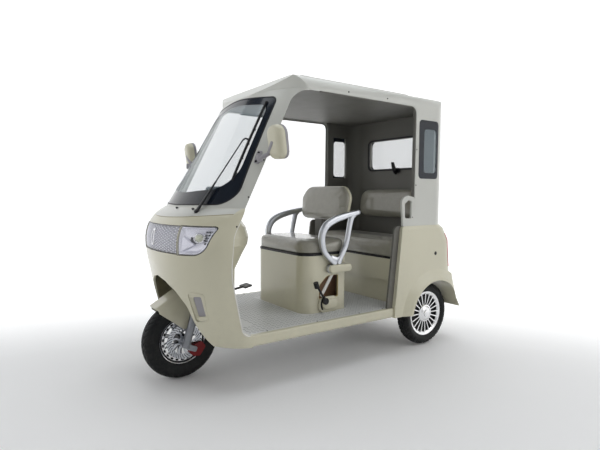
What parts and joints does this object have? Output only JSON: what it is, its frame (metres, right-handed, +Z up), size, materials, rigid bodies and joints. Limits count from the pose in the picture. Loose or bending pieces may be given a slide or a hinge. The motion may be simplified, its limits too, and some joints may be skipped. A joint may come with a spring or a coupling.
{
  "type": "roofed electric passenger tricycle",
  "caption": "Open-sided roofed electric tricycle with a steered front wheel, curved windscreen, driver's seat on a box and a passenger bench.",
  "frame": {"origin": "on the ground below the middle of the vehicle's length and width", "axes": "+Z up, the front towards -Y, the vehicle's own left towards +X"},
  "size_m": [1.17, 2.068, 1.668],
  "materials": {
    "shell_cream": "gloss painted moulding",
    "shell_white": "satin painted moulding",
    "liner_grey": "matt moulded lining",
    "floor_grey": "embossed grip floor",
    "steel_black": "black enamel",
    "vinyl_taupe": "smooth grained vinyl",
    "aluminium_satin": "satin cast",
    "rim_silver": "bright machined",
    "tyre_black": "road tyre",
    "trim_black": "matt black",
    "glass_clear": "clear, black border",
    "lamp_clear": "clear lens",
    "lamp_red": "red lens",
    "caliper_red": "red anodised",
    "steel_bright": "ground steel",
    "battery_grey": "battery case"
  },
  "bodies": {
    "root": {"front_shell": "shell_cream", "headlamp_left": "lamp_clear", "headlamp_right": "lamp_clear", "grille_lamp": "lamp_clear", "front_inner_panel": "shell_cream", "windscreen_surround": "shell_white", "windscreen_glass": "glass_clear", "roof_panel": "shell_white", "roof_liner": "liner_grey", "rear_upper": "shell_white", "rear_inner_liner": "liner_grey", "quarter_windows": "glass_clear", "rear_window": "glass_clear", "rear_lower_body": "shell_cream", "sills": "shell_cream", "floor_pan": "floor_grey", "chassis_frame": "steel_black", "rear_axle": "steel_black", "rear_springs": "steel_black", "battery_block": "battery_grey", "driver_seat_box": "shell_cream", "driver_backrest": "vinyl_taupe", "backrest_post": "liner_grey", "armrest_left": "aluminium_satin", "armrest_right": "aluminium_satin", "parking_brake_lever": "trim_black", "parking_brake_cover": "shell_cream", "bench_base": "shell_cream", "bench_backrest": "vinyl_taupe", "grab_handles": "shell_white", "mirror_left": "shell_cream", "mirror_right": "shell_cream", "wiper": "trim_black", "tail_lamps": "lamp_red", "brake_pedal": "steel_black"},
    "steering": {"fork": "steel_bright", "mudguard": "shell_cream", "brake_caliper": "caliper_red", "handlebar": "trim_black", "handlebar_cover": "trim_black"},
    "front_wheel": {"front_tyre": "tyre_black", "front_rim": "rim_silver", "brake_disc": "steel_bright"},
    "rear_left_wheel": {"rear_tyre_left": "tyre_black", "rear_rim_left": "rim_silver"},
    "rear_right_wheel": {"rear_tyre_right": "tyre_black", "rear_rim_right": "rim_silver"},
    "driver_lid": {"driver_cushion": "vinyl_taupe"},
    "bench_lid": {"bench_cushion": "vinyl_taupe"}
  },
  "joints": [
    {"name": "steering_turn", "type": "hinge", "parent": "root", "child": "steering", "pos_m": [0, -0.69299, 0.60212], "axis": [0, 0.2756, 0.9613], "range_deg": [-35, 35]},
    {"name": "front_wheel_spin", "type": "hinge", "parent": "steering", "child": "front_wheel", "pos_m": [0, -0.826, 0.208], "axis": [1, 0, 0], "continuous": true},
    {"name": "rear_left_wheel_spin", "type": "hinge", "parent": "root", "child": "rear_left_wheel", "pos_m": [0.354, 0.732, 0.208], "axis": [1, 0, 0], "continuous": true},
    {"name": "rear_right_wheel_spin", "type": "hinge", "parent": "root", "child": "rear_right_wheel", "pos_m": [-0.354, 0.732, 0.208], "axis": [1, 0, 0], "continuous": true},
    {"name": "driver_seat_lid_hinge", "type": "hinge", "parent": "root", "child": "driver_lid", "pos_m": [0, -0.196, 0.6553], "axis": [1, 0, 0], "range_deg": [0, 70]},
    {"name": "bench_seat_lid_hinge", "type": "hinge", "parent": "root", "child": "bench_lid", "pos_m": [0, 0.414, 0.6033], "axis": [1, 0, 0], "range_deg": [0, 70]}
  ]
}
